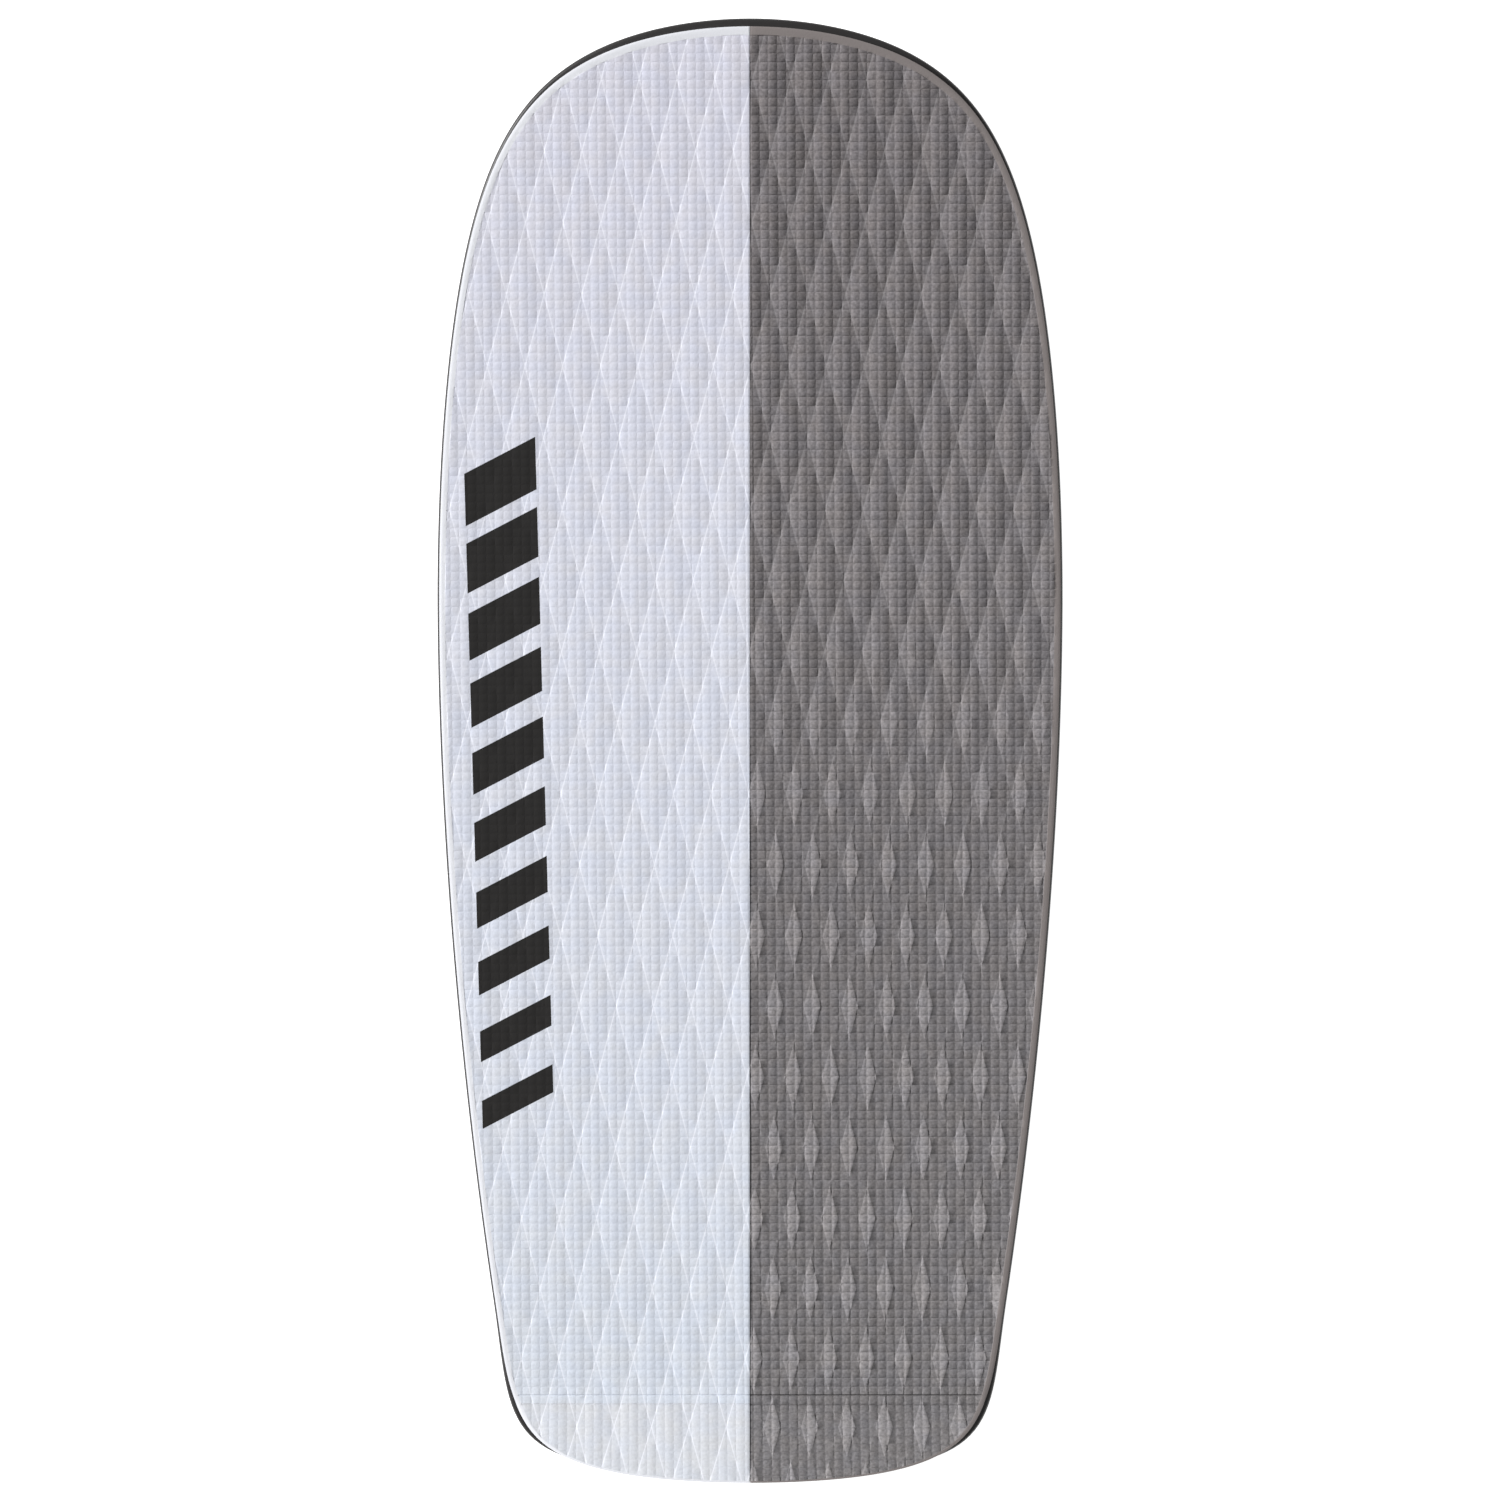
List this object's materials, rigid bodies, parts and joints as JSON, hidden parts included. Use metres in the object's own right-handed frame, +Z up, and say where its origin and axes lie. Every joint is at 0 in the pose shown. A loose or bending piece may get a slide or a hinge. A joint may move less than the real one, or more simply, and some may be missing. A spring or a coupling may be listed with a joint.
{
  "type": "hydrofoil board",
  "caption": "Short hydrofoil board with a two-tone grooved full deck pad, kicked tail, black laminated hull, sliding nuts in foil tracks and a screw vent in its flat bottom.",
  "frame": {"origin": "middle of the foil seat on the flat bottom, between the two foil tracks, where the mast's top plate bolts on", "axes": "+Z up out of the standing deck, +Y along the board to its nose, +X to the rider's right when facing the nose (the dark half)"},
  "size_m": [0.48, 1.12, 0.086],
  "materials": {
    "pad_light": "matte",
    "pad_dark": "matte",
    "laminate_black": "satin",
    "sandwich_foam": "matte",
    "white_foam": "matte",
    "dense_foam": "matte",
    "black_nylon": "satin",
    "stainless": "satin",
    "brass": "satin",
    "seal_rubber": "matte",
    "membrane_white": "matte"
  },
  "bodies": {
    "board": {"deck_pad_left": "pad_light", "deck_pad_right": "pad_dark", "kick_wedge": "pad_dark", "deck_shell": "laminate_black", "bottom_shell": "laminate_black", "deck_sandwich_sheet": "sandwich_foam", "bottom_sandwich_sheet": "sandwich_foam", "foam_core": "white_foam", "track_block_left": "dense_foam", "track_block_right": "dense_foam", "foil_track_left": "black_nylon", "foil_track_right": "black_nylon", "vent_insert": "brass"},
    "nut_front_left": {"track_nut_front_left": "stainless"},
    "nut_front_right": {"track_nut_front_right": "stainless"},
    "nut_rear_left": {"track_nut_rear_left": "stainless"},
    "nut_rear_right": {"track_nut_rear_right": "stainless"},
    "vent_ring": {"vent_seal_ring": "seal_rubber"},
    "vent_screw": {"vent_plug": "black_nylon", "vent_membrane": "membrane_white", "membrane_retainer": "black_nylon"}
  },
  "joints": [
    {"name": "front_left_nut_slide", "type": "slide", "parent": "board", "child": "nut_front_left", "axis": [0, 1, 0], "range_m": [-0.069, 0.0135]},
    {"name": "front_right_nut_slide", "type": "slide", "parent": "board", "child": "nut_front_right", "axis": [0, 1, 0], "range_m": [-0.069, 0.0135]},
    {"name": "rear_left_nut_slide", "type": "slide", "parent": "board", "child": "nut_rear_left", "axis": [0, 1, 0], "range_m": [-0.0135, 0.069]},
    {"name": "rear_right_nut_slide", "type": "slide", "parent": "board", "child": "nut_rear_right", "axis": [0, 1, 0], "range_m": [-0.0135, 0.069]},
    {"name": "vent_travel", "type": "slide", "parent": "board", "child": "vent_ring", "axis": [0, 0, -1], "range_m": [0, 0.0075]},
    {"name": "vent_turn", "type": "hinge", "parent": "vent_ring", "child": "vent_screw", "pos_m": [0, 0.18, 0], "axis": [0, 0, -1], "range_deg": [0, 2160]}
  ],
  "couplings": [
    {"joint": "vent_turn", "follows": "vent_travel", "rad_per_m": 5026.5}
  ]
}
